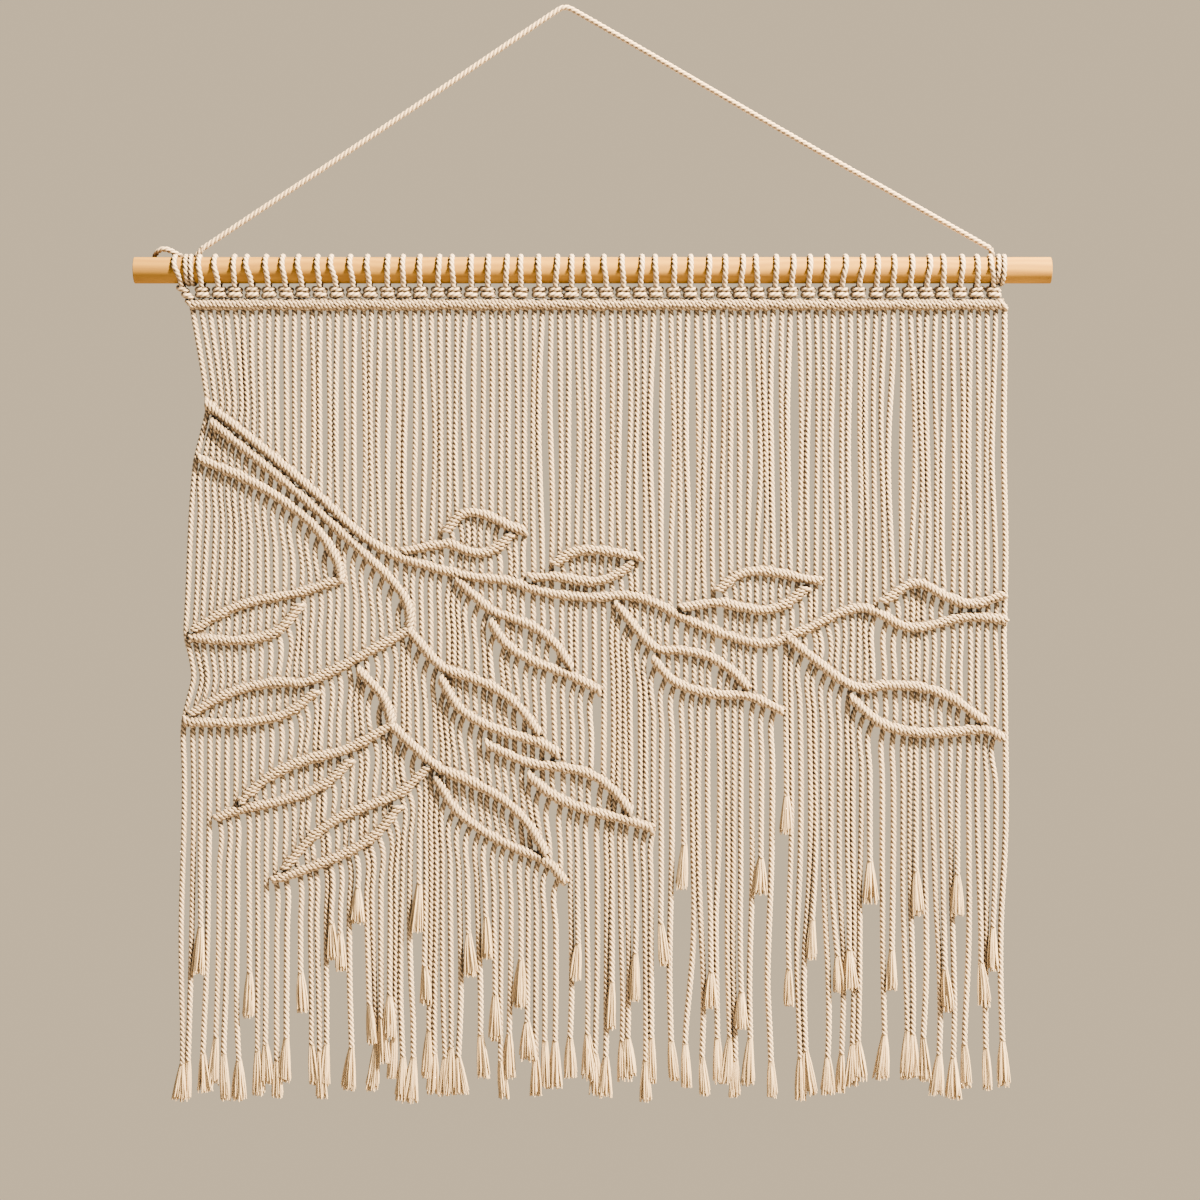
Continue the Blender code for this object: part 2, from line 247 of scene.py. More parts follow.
rope_sweep = sweep_group("rope_sweep", 9, GROOVE, LAY, LAY / RINGS_PER_LAY)
hitch_sweep = sweep_group("hitch_sweep", 6, BENT_GROOVE, LAY, BENT_RING_GAP)
bent_sweep = sweep_group("bent_sweep", 9, BENT_GROOVE, LAY, BENT_RING_GAP)
lock_sweep = sweep_group("lock_sweep", 3)
print("rope sweep has", len(rope_sweep.nodes), "nodes, lock sweep", len(lock_sweep.nodes))

# %% [markdown]
# ## Cotton
# Natural cotton cord is a warm cream, matte and slightly fuzzy. Where two plies meet, light is
# lost between them, so the grooves look brown: that shade is painted into the colour. So is the
# shade in nooks, between strands, under bars and between turns, which an occlusion node finds.
# No cord is dyed evenly either: each strand has its own tone. The noise below is stretched along
# the strands to give that, and a fine one raises the fuzz.

# %% Cotton finishes
TONE_SIZE = (0.006, 0.02, 0.12)
TONE_SHARE = 0.9
FIBRE_SIZE = (0.0006, 0.0006, 0.0009)
FIBRE_DETAIL = 3.0
FIBRE_SHARE = 0.25
# Painted shade: nooks with other cord within this reach, and the grooves between plies, are
# darkened
NOOK_SHADE_REACH = 0.006
GROOVE_SHADE = (0.070, 0.050, 0.034)


def cotton(name, light, deep, nook_shade, nook_shade_share, grooves):
    """Cotton that goes from light to deep by noise, and to a painted shade where light hardly
    reaches.
    """
    made = bpy.data.materials.new(name)
    made.use_nodes = True
    shader = made.node_tree.nodes["Principled BSDF"]
    graph = Graph(made.node_tree)
    place = graph.add("ShaderNodeTexCoord", output="Object")
    colour = graph.mix(graph.noise(place, TONE_SIZE) * TONE_SHARE, light, deep)
    # Painted shade in the grooves between plies
    if grooves:
        sunk = graph.add("ShaderNodeAttribute", {"attribute_name": "sunk"}, output="Fac")
        colour = graph.mix(sunk * (1 / (1 - GROOVE)), colour, GROOVE_SHADE)
    fibres = graph.noise(place, FIBRE_SIZE, FIBRE_DETAIL)
    colour = graph.mix(fibres * FIBRE_SHARE, colour, deep)
    # Painted shade where the occlusion node finds cord close by: between strands, under bars,
    # between turns
    inputs = {"Distance": NOOK_SHADE_REACH}
    openness = graph.add("ShaderNodeAmbientOcclusion", {"samples": 4}, inputs, output="AO")
    colour = graph.mix((1 - openness) * nook_shade_share, colour, nook_shade)
    inputs = {"Strength": 0.35, "Distance": 0.0003, "Height": fibres}
    bump = graph.add("ShaderNodeBump", None, inputs)
    graph.plug(shader.inputs["Base Color"], colour)
    graph.plug(shader.inputs["Normal"], bump)
    shader.inputs["Roughness"].default_value = 0.92
    shader.inputs["Sheen Weight"].default_value = 0.15
    shader.inputs["Specular IOR Level"].default_value = 0.2
    return made


cord_cotton = cotton(
    "cord_cotton",
    light=(0.76, 0.63, 0.465),
    deep=(0.63, 0.50, 0.35),
    # The painted shade for nooks, and how strongly it is mixed in
    nook_shade=(0.085, 0.060, 0.038),
    nook_shade_share=2.6,
    grooves=True,
)
frayed_cotton = cotton(
    "frayed_cotton",
    light=(0.62, 0.50, 0.335),
    deep=(0.52, 0.405, 0.25),
    # The painted shade for nooks, and how strongly it is mixed in
    nook_shade=(0.33, 0.24, 0.14),
    nook_shade_share=1.2,
    grooves=False,
)
print("cotton finishes:", cord_cotton.name, frayed_cotton.name)

# %% [markdown]
# ## From cords to a piece
# Each piece starts as a curve object with one spline for each cord. The sweep runs on it once,
# and its result is kept as a plain mesh, which other programs read the same way. The piece
# then rides on the object's body and stands for the plain solid that it replaces.

# %% A curve object with a spline for each cord
Cord = namedtuple("Cord", "points radius closed", defaults=[False])


def curve_object(name, cords):
    """A cord's radius is one length, or as many as it has points."""
    curve = bpy.data.curves.new(name, "CURVE")
    curve.dimensions = "3D"
    for points, radius, closed in cords:
        spline = curve.splines.new("POLY")
        spline.points.add(len(points) - 1)
        spline.use_cyclic_u = closed
        radii = radius if isinstance(radius, tuple) else [radius] * len(points)
        for target, point, size in zip(spline.points, points, radii):
            target.co = (*point, 1.0)
            target.radius = size
    return add_object(name, curve)


print("a cord is", " ".join(Cord._fields))

# %% A piece from cords


def fasten(piece, slot, *replaced):
    """The piece moves with the whole object and stands for the solids that it replaces."""
    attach(piece, "root")
    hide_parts(*replaced)
    piece.data.calc_loop_triangles()
    print(f"{piece.name}: {len(piece.data.loop_triangles)} triangles")


def add_piece(name, cords, sweep, finish, *replaced):
    """Sweeps the cords into one mesh piece."""
    guide = curve_object(name + "_lines", cords)
    guide.modifiers.new("sweep", "NODES").node_group = sweep
    graph = bpy.context.evaluated_depsgraph_get()
    swept = guide.evaluated_get(graph)
    mesh = bpy.data.meshes.new_from_object(swept, preserve_all_data_layers=True, depsgraph=graph)
    mesh.name = name
    bpy.data.objects.remove(guide, do_unlink=True)
    mesh.materials.clear()
    mesh.materials.append(finish)
    piece = add_object(name, mesh)
    fasten(piece, "cotton_cord", *replaced)
    return piece


# %% A smooth curve through waypoints


def smooth_curve(waypoints, spacing):
    """Points about a spacing apart on a smooth curve through the waypoints."""
    before_first = 2 * waypoints[0] - waypoints[1]
    after_last = 2 * waypoints[-1] - waypoints[-2]
    posts = [before_first, *waypoints, after_last]
    points = [waypoints[0].copy()]
    for before, start, end, after in zip(posts, posts[1:], posts[2:], posts[3:]):
        steps = max(1, round((end - start).length / spacing))
        for step in range(1, steps + 1):
            t = step / steps
            linear = (end - before) * t
            square = (2 * before - 5 * start + 4 * end - after) * t**2
            cube = (3 * start - before - 3 * end + after) * t**3
            points.append(0.5 * (2 * start + linear + square + cube))
    return points


corner = smooth_curve([Vector((0, 0, 0)), Vector((1, 0, 0)), Vector((1, 0, 1))], 0.25)
print("a corner of three waypoints becomes a bend of", len(corner), "points")

# %% [markdown]
# ## The hanging cord
# One cord runs from the left end of the rod, over the point that it all hangs from, to the
# right end. The weight keeps both legs straight, and the bend at the top is only a few
# millimetres wide. Its route is the one that the solid follows, point by point.

# %% Route of the hanging cord, x and z in millimetres
HANGING_CORD = (
    (-277, -182.4),
    (-235, -154.4),
    (-190, -124.6),
    (-145, -94.5),
    (-100, -64.2),
    (-60, -37.0),
    (-32, -17.9),
    (-16, -7.1),
    (-8, -1.8),
    (-3.5, 1.1),
    (0, 2.0),
    (3.5, 1.3),
    (8, -1.1),
    (17, -6.2),
    (36, -17.1),
    (70, -36.7),
    (115, -62.8),
    (165, -91.7),
    (215, -120.2),
    (270, -151.2),
    (325, -182.4),
)
ROUTE_SPACING = 0.006

route = smooth_curve([Vector((x * MM, 0, z * MM)) for x, z in HANGING_CORD], ROUTE_SPACING)
route_length = sum((end - start).length for start, end in zip(route, route[1:]))
print("hanging cord is", round(route_length, 3), "m long")

# %% Hanging cord
HANGING_CORD_DIAMETER = 0.004

# A lobed cord fills less than a plain round one, so its lobes reach a little further out
LOBE_REACH = 0.53

hanging_cord = add_piece(
    "hanging_cord_rope",
    [Cord(route, HANGING_CORD_DIAMETER * LOBE_REACH)],
    bent_sweep,
    cord_cotton,
    "hanging_cord",
)

# %% [markdown]
# ## The drawing
# The design is drawn by bars. A bar is a row of hitches: each strand is tied round one cord
# that crosses all of them. The branch falls from the left edge and rises and falls to the
# right one. Each leaf is two bars, bulging apart between its base and its tip, so a leaf
# needs only those points and two bulges, and a formula gives its sides.

# %% Branch and stems, x and z in millimetres
BRANCH = (
    (-274, -301),
    (-241, -327),
    (-192, -368),
    (-157, -400),
    (-126, -418),
    (-77, -432),
    (-45, -436),
    (-15, -445),
    (20, -449),
    (57, -449),
    (105, -471),
    (150, -484),
    (180, -475),
    (225, -457),
    (264, -472),
    (306, -464),
    (337, -466),
)
STEMS = {
    "under_branch": (
        (-270, -315), (-210, -364), (-157, -412), (-128, -441), (-119, -459), (-119, -473)
    ),
    "spray": ((-279, -343), (-233, -364), (-194, -392), (-175, -419), (-171, -435)),
    "twig": ((-158, -504), (-139, -525), (-132, -546)),
    "last_bud": ((243, -452), (268, -438), (292, -449), (312, -454), (335, -447)),
}
print("the branch has", len(STEMS), "stems")

# %% Leaves, points and bulges in millimetres
# A leaf hangs below its stem (1), and a bud stands on it (-1)
Leaf = namedtuple("Leaf", "name stem base tip end near_bulge far_bulge hangs")
LEAVES = (
    Leaf("west_1", (-171, -435), (-202, -445), (-283, -474), (-288, -480), 6, 15, 1),
    Leaf("west_2", (-119, -474), (-190, -511), (-285, -538), (-291, -542), 8, 12, 1),
    Leaf("west_3", (-132, -546), (-164, -564), (-248, -605), (-267, -618), 8, 9, 1),
    Leaf("west_4", (-105, -579), (-127, -599), (-214, -656), (-224, -665), 10, 10, 1),
    Leaf("middle_1", (-119, -474), (-95, -501), (-19, -554), (-4, -569), 10, 12, 1),
    Leaf("middle_2", (-83, -435), (-57, -458), (5, -503), (28, -521), 9, 8, 1),
    Leaf("middle_3", (-60, -561), (-28, -575), (51, -614), (68, -626), 13, 7, 1),
    Leaf("middle_4", (-132, -547), (-99, -577), (-14, -645), (1, -667), 12, 11, 1),
    Leaf("east_1", (38, -453), (67, -486), (141, -519), (167, -536), 10, 11, 1),
    Leaf("east_2", (170, -480), (218, -516), (320, -544), (334, -556), 13, 15, 1),
    Leaf("bud_1", (-123, -414), (-91, -408), (-41, -401), (-30, -398), 11, 13, -1),
    Leaf("bud_2", (-26, -434), (-8, -433), (51, -423), (58, -418), 9, 8, -1),
    Leaf("bud_3", (89, -457), (117, -453), (185, -441), (196, -436), 12, 11, -1),
)
print(len(LEAVES), "leaves and buds grow from them")

# %% A leaf's two sides
BAR_HEIGHT = 0.0076
BAR_Y = -0.0012
LEAF_SHARES = (0.25, 0.5, 0.75)
NEAR_SKEW = 1.2
FAR_SKEW = 0.75
APART_AT_BASE = 1.25
APART_AT_TIP = 0.75


def on_panel(x_mm, z_mm):
    return Vector((x_mm * MM, BAR_Y, z_mm * MM))


def bulged(start, end, bulge, skew):
    """Points between start and end, pushed up off the straight line by a rounded bulge."""
    along = (end - start).normalized()
    up = Vector((-along.z, 0, along.x))
    if up.z < 0:
        up.negate()
    height = {share: bulge * MM * math.sin(math.pi * share**skew) for share in LEAF_SHARES}
    return [start.lerp(end, share) + up * height[share] for share in LEAF_SHARES]


def leaf_sides(leaf):
    """The near side, from the stem to the tip, and the far side, which runs past the tip."""
    stem, base, tip, end = (on_panel(*point) for point in leaf[1:5])
    apart = Vector((0, 0, -leaf.hangs * BAR_HEIGHT))
    far_base = base + apart * APART_AT_BASE
    far_tip = tip + apart * APART_AT_TIP
    near = bulged(base, tip, leaf.hangs * leaf.near_bulge, NEAR_SKEW)
    far = bulged(far_base, far_tip, -leaf.hangs * leaf.far_bulge, FAR_SKEW)
    return [stem, base, *near, tip], [far_base, *far, far_tip, end]


near_side, far_side = leaf_sides(LEAVES[0])
print("a leaf's sides have", len(near_side), "and", len(far_side), "waypoints")

# %% Centre lines of the bars
POINT_SPACING = 0.002

bars = {}
for name, stem in {"branch": BRANCH, **STEMS}.items():
    bars[name] = [on_panel(*point) for point in stem]
for leaf in LEAVES:
    bars[leaf.name + "_near"], bars[leaf.name + "_far"] = leaf_sides(leaf)
bars = {name: smooth_curve(waypoints, POINT_SPACING) for name, waypoints in bars.items()}
print(len(bars), "bars draw the branch and its leaves")

# %% [markdown]
# ## Where the strands hang
# A strand hangs straight down from the header until a bar crosses it. A hitch turns the strand
# square to its bar, so below a sloping bar the strand leaves at a slant, curves back, and
# hangs a few millimetres further over. Every bar adds to that shift. That is why strands
# crowd together where two leaves meet, and why a gap opens beside a leaf's tip.

# %% Edges of the panel
STRANDS = 96
STRAND_LEFT = -0.2850
STRAND_RIGHT = 0.3355
EDGE_REACH = 0.035

# How far the knotting draws the left edge in or out: height and shift in millimetres
LEFT_EDGE = ((-226, 0), (-304, 12), (-345, 3), (-478, -5), (-510, 1), (-540, -6), (-829, -8))


def left_edge_shift(z):
    """How far to the right the left edge is drawn at this height."""
    for (upper, upper_shift), (lower, lower_shift) in zip(LEFT_EDGE, LEFT_EDGE[1:]):
        if z >= lower * MM:
            share = (upper * MM - z) / ((upper - lower) * MM)
            return (upper_shift + (lower_shift - upper_shift) * share) * MM
    return LEFT_EDGE[-1][1] * MM


def edge_hold(root_x):
    """1 at the left or the right edge of the panel, where the bars' ends hold the strands."""
    left = math.exp(-(((root_x - STRAND_LEFT) / EDGE_REACH) ** 2))
    right = math.exp(-(((STRAND_RIGHT - root_x) / EDGE_REACH) ** 2))
    return left, right


print("the left edge is drawn in by up to", max(shift for _, shift in LEFT_EDGE), "mm")

# %% Bars that hold one strand
HEADER_Z = -0.2252
STEEPEST_LEAN = 0.75
SHIFT_REACH = 0.005
SHIFT_LIMIT = 0.009
BELOW_BAR = 0.004
EDGE_AHEAD = 0.02

Held = namedtuple("Held", "x z lean")


def crossings(x):
    """Each bar's height and slope where it passes x."""
    found = []
    for line in bars.values():
        for start, end in zip(line, line[1:]):
            if min(start.x, end.x) <= x < max(start.x, end.x):
                slope = (end.z - start.z) / (end.x - start.x)
                found.append((start.z + (x - start.x) * slope, slope))
    return found


def bar_shift(lean, root_x):
    """How far over a strand hangs below a bar that it leaves at this lean; less at an edge."""
    left, right = edge_hold(root_x)
    return lean * SHIFT_REACH * (1 - left - right)


def held_places(root_x):
    """The header and each bar that holds the strand, with the lean it leaves them at."""
    left, _ = edge_hold(root_x)
    places = [Held(root_x, HEADER_Z, 0.0)]
    shift = 0.0
    while True:
        x = root_x + SHIFT_LIMIT * math.tanh(shift / SHIFT_LIMIT)
        z = places[-1].z
        here = x + left_edge_shift(z - EDGE_AHEAD) * left
        below = [(height, slope) for height, slope in crossings(here) if height < z - BELOW_BAR]
        if not below:
            return places
        height, slope = max(below)
        lean = max(-STEEPEST_LEAN, min(STEEPEST_LEAN, slope))
        places.append(Held(x, height, lean))
        shift += bar_shift(lean, root_x)


print("a strand in the middle is held at", len(held_places(0.0)), "places")

# %% The way of one strand
CURVE_BACK = 0.040
LEAN_ON_ARRIVAL = 0.5
FAR_BELOW = -9.0


def held_above(places, z):
    """Which of its places holds the strand above this height."""
    return max(index for index, place in enumerate(places) if z <= place.z or index == 0)


def strand_x(places, x_after, z):
    """Where the strand is at this height; x_after is where it hangs below its last bar."""
    above = held_above(places, z)
    start = places[above]
    end = places[above + 1] if above + 1 < len(places) else Held(x_after, FAR_BELOW, 0.0)
    span = min(start.z - end.z, CURVE_BACK)
    u = min(1.0, (start.z - z) / span)
    leave = span * start.lean * (u**3 - 2 * u**2 + u)
    arrive = span * end.lean * LEAN_ON_ARRIVAL * (u**3 - u**2) if span < CURVE_BACK else 0.0
    blend = 3 * u**2 - 2 * u**3
    return start.x + (end.x - start.x) * blend + leave + arrive


print("a strand hangs straight again", CURVE_BACK, "m below a bar")

# %% [markdown]
# ## Slack
# A taut strand would look drawn with a ruler. A real one has a little slack between two bars,
# and drifts more the longer it hangs free. Noise gives that drift, one part of it shared by
# neighbours, which fall together. Strands that would run into each other are then eased apart.

# %% Slack and drift
HELD_DRIFT = 0.032
FREE_DRIFT = 0.011
FREE_LENGTH = 0.22
FREE_GROWTH = 1.2

Drift = namedtuple("Drift", "width height seed share")
DRIFTS = (Drift(0.017, 0.16, 7.0, 0.45), Drift(0.0031, 0.22, 11.0, 0.75))


def slack(places, z):
    """How far a strand may drift: not at all where it is held, most where it hangs free."""
    above = held_above(places, z)
    hang = places[above].z - z
    if above + 1 == len(places):
        return FREE_DRIFT * min(1.0, hang / FREE_LENGTH) ** FREE_GROWTH
    span = places[above].z - places[above + 1].z
    return HELD_DRIFT * span * math.sin(math.pi * min(1.0, max(0.0, hang / span)))


def drift(x, z):
    """A slow sideways drift, partly shared with the neighbours and partly the strand's own."""
    return sum(
        part.share * noise.noise(Vector((x / part.width, z / part.height, part.seed)))
        for part in DRIFTS
    )


print("a free end drifts by up to about", FREE_DRIFT, "m")

# %% All strands together
LEVEL_GAP = 0.0025
LOWEST_LEVEL = -0.840
CLOSEST = 0.0041
EASING_ROUNDS = 14
WINDOW = 5

levels = numpy.arange(HEADER_Z, LOWEST_LEVEL, -LEVEL_GAP)


def strand_line(root_x):
    """The strand's place at every level."""
    places = held_places(root_x)
    x_after = places[-1].x + bar_shift(places[-1].lean, root_x)
    left, _ = edge_hold(root_x)
    line = []
    for z in map(float, levels):
        x = strand_x(places, x_after, z) + slack(places, z) * drift(root_x, z)
        line.append(x + left_edge_shift(z) * left)
    return line


roots = numpy.linspace(STRAND_LEFT, STRAND_RIGHT, STRANDS)
strands_x = numpy.array([strand_line(float(root_x)) for root_x in roots])
for _ in range(EASING_ROUNDS):
    crowding = numpy.maximum(0.0, CLOSEST - (strands_x[1:] - strands_x[:-1])) / 2
    strands_x[:-1] -= crowding
    strands_x[1:] += crowding

# Each level takes the mean of a few round it, so that no strand bends sharply
windows = [strands_x[:, first : first + len(levels) - WINDOW + 1] for first in range(WINDOW)]
strands_x[:, WINDOW // 2 : -(WINDOW // 2)] = sum(windows) / WINDOW
print("strands placed at", len(levels), "levels")

# %% [markdown]
# ## Where the strands end
# A strand that was tied into many bars has used up its length, so it ends above the hem. The
# short ends are listed one by one, because they are where the maker's work left them. All
# others end in an uneven row.

# %% Ends of the strands, in millimetres
SHORT_ENDS = (
    (-277, -736), (-241, -768), (-200, -765), (-177, -724), (-169, -734), (-157, -698),
    (-147, -789), (-141, -804), (-136, -784), (-111, -704), (-106, -758), (-74, -737),
    (-62, -724), (-52, -787), (-43, -815), (-37, -761), (-30, -803), (11, -740),
    (38, -778), (57, -757), (71, -728), (92, -670), (111, -763), (138, -777),
    (146, -676), (168, -629), (173, -760), (189, -724), (205, -750), (215, -747),
    (229, -683), (251, -748), (270, -691), (290, -764), (301, -692), (317, -761),
    (329, -733),
)
HEM_LOW = -0.834
HEM_HIGH = -0.815


def level_at(z):
    """The number of the level nearest to this height."""
    return min(len(levels) - 1, max(0, round((HEADER_Z - z) / LEVEL_GAP)))


ends = {}
for x, z in SHORT_ENDS:
    at_end = strands_x[:, level_at(z * MM)]
    nearest = sorted(range(STRANDS), key=lambda index: abs(at_end[index] - x * MM))
    ends[next(index for index in nearest if index not in ends)] = z * MM
for index in range(STRANDS):
    if index not in ends:
        ends[index] = chance.uniform(HEM_LOW, HEM_HIGH)
print(len(SHORT_ENDS), "strands end above the hem")

# %% One frayed tuft
LOCKS = 64
LOCK_RADII = (0.00080, 0.00086, 0.00080, 0.00052)
LOCK_FALLS = (0.86, 1.05)
LOCK_SWAY = 0.0006
NECK_HALF_WIDTH = 0.0016
TUFT_FLATNESS = 0.55
TUFT_OPENING = 0.9


def tuft(neck, length, half_width, lean):
    """Locks of loose fibre that fall open below the neck, where the twist ends."""
    locks = []
    for _ in range(LOCKS):
        angle = chance.uniform(0, math.tau)
        share = math.sqrt(chance.random())
        outward = Vector((math.cos(angle) * share, math.sin(angle) * share * TUFT_FLATNESS, 0))
        fall = length * chance.uniform(*LOCK_FALLS)
        sway = Vector((chance.uniform(-1, 1), chance.uniform(-1, 1), 0)) * LOCK_SWAY
        points = []
        for step in range(len(LOCK_RADII)):
            t = step / (len(LOCK_RADII) - 1)
            spread = NECK_HALF_WIDTH + (half_width - NECK_HALF_WIDTH) * t**TUFT_OPENING
            bend = sway * math.sin(math.pi * t)
            hang = Vector((lean * t * length, 0, -fall * t))
            points.append(neck + outward * spread + bend + hang)
        locks.append(Cord(points, LOCK_RADII))
    return locks


print("a tuft has", LOCKS, "locks")

# %% One strand down to its tuft
SHORT_ABOVE = HEM_HIGH + 0.001
SHORT_FORWARD = -0.0024
FORWARD_REACH = 0.08
DEPTH_DRIFT = 0.0007
DEPTH_WAVE = 0.07
NOISE_APART = 3.7


def strand_points(index, neck, forward):
    """The strand from the header to the level of its neck, where it has come forward."""
    points = []
    for level in range(neck + 1):
        toward = forward * min(1.0, max(0.0, 1 - (neck - level) * LEVEL_GAP / FORWARD_REACH))
        place = Vector((index * NOISE_APART, levels[level] / DEPTH_WAVE, 0))
        depth = noise.noise(place) * DEPTH_DRIFT
        points.append(Vector((strands_x[index, level], toward + depth, levels[level])))
    return points


print("a short end lies", -SHORT_FORWARD, "m in front of its neighbours")

# %% Strands and their tufts
BANDS = 4
TUFT_LENGTHS = (0.027, 0.036)
TUFT_HALF_WIDTHS = (0.0038, 0.0072)
TUFT_LEAN = 0.09

strands = []
tufts = {"hem": [], "short": []}
for index in range(STRANDS):
    short = ends[index] > SHORT_ABOVE
    length = chance.uniform(*TUFT_LENGTHS)
    points = strand_points(index, level_at(ends[index] + length), SHORT_FORWARD if short else 0.0)
    strands.append(Cord(points, CORD_DIAMETER / 2))
    lean = chance.uniform(-TUFT_LEAN, TUFT_LEAN)
    half_width = chance.uniform(*TUFT_HALF_WIDTHS)
    tufts["short" if short else "hem"] += tuft(points[-1], length, half_width, lean)

per_band = STRANDS // BANDS
for band in range(BANDS):
    cords = strands[band * per_band : (band + 1) * per_band]
    add_piece(f"strands_{band + 1}", cords, rope_sweep, cord_cotton, "macrame")
for row, locks in tufts.items():
    add_piece(f"tufts_{row}", locks, lock_sweep, frayed_cotton, "macrame")

# %% [markdown]
# ## Bars of hitches
# In a bar, every strand is wound twice round the cord that crosses it. The turns lie side by
# side and slant a little, which gives the bar its rope-like look. So a bar is one cord wound
# in a flattened helix round the bar's line, with two turns for each strand. The turns rise
# unevenly, because each is pulled tight by hand.

# %% A cord wound round a line
TURN_PITCH = 0.0032
TURN_STEPS = 12
HITCH_CORD = 0.0040
HITCH_LEAN = 0.0030
UNEVEN = 0.50
UNEVEN_SIZE = 0.0045


def wound(line, height, depth, pitch=TURN_PITCH, lean=HITCH_LEAN):
    """A cord wound round a line, whose turns lean along it."""
    lengths = [0.0]
    for start, end in zip(line, line[1:]):
        lengths.append(lengths[-1] + (end - start).length)
    steps = round(lengths[-1] / pitch * TURN_STEPS)
    points = []
    segment = 0
    for step in range(steps + 1):
        along = lengths[-1] * step / steps
        while segment < len(line) - 2 and lengths[segment + 1] < along:
            segment += 1
        start, end = line[segment], line[segment + 1]
        middle = start.lerp(end, (along - lengths[segment]) / (end - start).length)
        forward = (end - start).normalized()
        up = Vector((-forward.z, 0, forward.x))
        angle = math.tau * step / TURN_STEPS
        rise = math.cos(angle) * (1 + UNEVEN * noise.noise(middle / UNEVEN_SIZE))
        points.append(
            middle
            + up * rise * (height - HITCH_CORD) / 2
            - Vector((0, math.sin(angle) * (depth - HITCH_CORD) / 2, 0))
            - forward * rise * lean / 2
        )
    return points


print("hitches are", TURN_PITCH, "m apart")

# %% Bars of the branch and the leaves
GROUPS = {
    "branch_bars": ("branch", "under", "spray", "twig", "last"),
    "west_leaf_bars": ("west",),
    "middle_leaf_bars": ("middle",),
    "east_leaf_bars": ("east", "bud"),
}
TURNED_HEIGHT = 0.0088
TURNED_DEPTH = 0.0102

# Bars that meet lie a little in front of each other, in one of five layers
LAYERS = 5
LAYER_GAP = 0.00037

for piece_name, starts in GROUPS.items():
    cords = []
    for order, (name, line) in enumerate(bars.items()):
        if name.split("_")[0] in starts:
            layer = Vector((0, -LAYER_GAP * (order % LAYERS), 0))
            points = wound([point + layer for point in line], TURNED_HEIGHT, TURNED_DEPTH)
            cords.append(Cord(points, HITCH_CORD / 2))
    add_piece(piece_name, cords, hitch_sweep, cord_cotton, "macrame")

# %% Header bar
HEADER_LEFT = -0.2870
HEADER_RIGHT = 0.3360
HEADER_HEIGHT = 0.0104
HEADER_PITCH = 0.0031
HEADER_LEAN = 0.0045

header_line = [Vector((HEADER_LEFT, BAR_Y, HEADER_Z)), Vector((HEADER_RIGHT, BAR_Y, HEADER_Z))]
header_turns = wound(header_line, HEADER_HEIGHT, TURNED_DEPTH, HEADER_PITCH, HEADER_LEAN)
header_cord = Cord(header_turns, HITCH_CORD / 2)
add_piece("header_bar", [header_cord], hitch_sweep, cord_cotton, "macrame")

# %% [markdown]
# ## Loops and knots on the rod
# Each folded cord goes over the rod as one loop. Below it two short turns lie on each other,
# tied flat against the header. A loop rarely sits right above its knot: it comes down the
# rod's front and bends over to it in the last stretch.

# %% One loop over the rod
ROD_Z = -0.199
ROD_RADIUS = 0.010
LOOP_CORD = 0.0043

# A taut cord is pressed flat on the rod, so its middle is only this share of it off the rod
PRESSED = 0.12
LOOP_RADIUS = ROD_RADIUS + LOOP_CORD * PRESSED

# A loop goes round the upper half of the rod in 16 steps, and three further at either end
LOOP_STEPS = 16
LOOP_FROM = -3
LOOP_TO = 19
KNOT_HEIGHTS = (-0.2139, -0.2180)
KNOT_MOUTH = 0.0034
BEND_FROM = -0.85
BEND_HEIGHT = 1.1


def rod_loop(knot_x, top_x):
    """Up behind the rod, over it and down its front, into the knot."""
    points = [Vector((knot_x, KNOT_MOUTH, KNOT_HEIGHTS[0]))]
    for step in range(LOOP_FROM, LOOP_TO + 1):
        angle = math.pi * step / LOOP_STEPS
        share = min(1.0, (math.sin(angle) - BEND_FROM) / BEND_HEIGHT)
        x = knot_x + (top_x - knot_x) * share
        z = math.sin(angle) * LOOP_RADIUS + ROD_Z
        points.append(Vector((x, math.cos(angle) * LOOP_RADIUS, z)))
    points.append(Vector((knot_x, -KNOT_MOUTH, KNOT_HEIGHTS[0])))
    return points


print("a loop follows", len(rod_loop(0, 0)), "points")

# %% One turn of a knot
KNOT_CORD = 0.0046
KNOT_HALF_WIDTH = 0.0040
KNOT_HALF_DEPTH = 0.0031
KNOT_STEPS = 16
FULL_ACROSS = 0.55
FULL_DEEP = 0.7


def filled_out(value, power):
    """Pushes a sine or a cosine outwards, which squares a circle off."""
    return math.copysign(abs(value) ** power, value)


def knot_turn(x, z, tilt, half_width):
    """One flat turn of a knot, as a closed line."""
    points = []
    for step in range(KNOT_STEPS):
        angle = math.tau * step / KNOT_STEPS + math.pi / 2
        across = math.cos(angle)
        deep = math.sin(angle)
        points.append(Vector((
            x + half_width * filled_out(across, FULL_ACROSS),
            KNOT_HALF_DEPTH * filled_out(deep, FULL_DEEP) + BAR_Y,
            z + tilt * across,
        )))
    return points


print("a knot has", len(KNOT_HEIGHTS), "turns")

# %% All loops and knots
LOOPS = 48
FIRST_LOOP_X = -0.2774
LOOP_PITCH = 0.01286
TOPS_BETWEEN = (-0.2790, 0.3245)
END_TURNS = ((-0.2918, -0.2137), (-0.2880, -0.2188))
END_LOOP_TOP = -0.2975
END_TILT = -0.0013
END_HALF_WIDTH = 0.0031

# How unevenly they sit, in millimetres: loops lean outwards, more so near either end
LEAN_AT_LEFT = -2.0
LEAN_GROWTH = 4.0
TOP_SCATTER = 1.3
KNOT_SCATTER = 0.6
TURN_SCATTER = 0.4
TURN_TILT = 0.3
WIDTH_SCATTER = 0.3

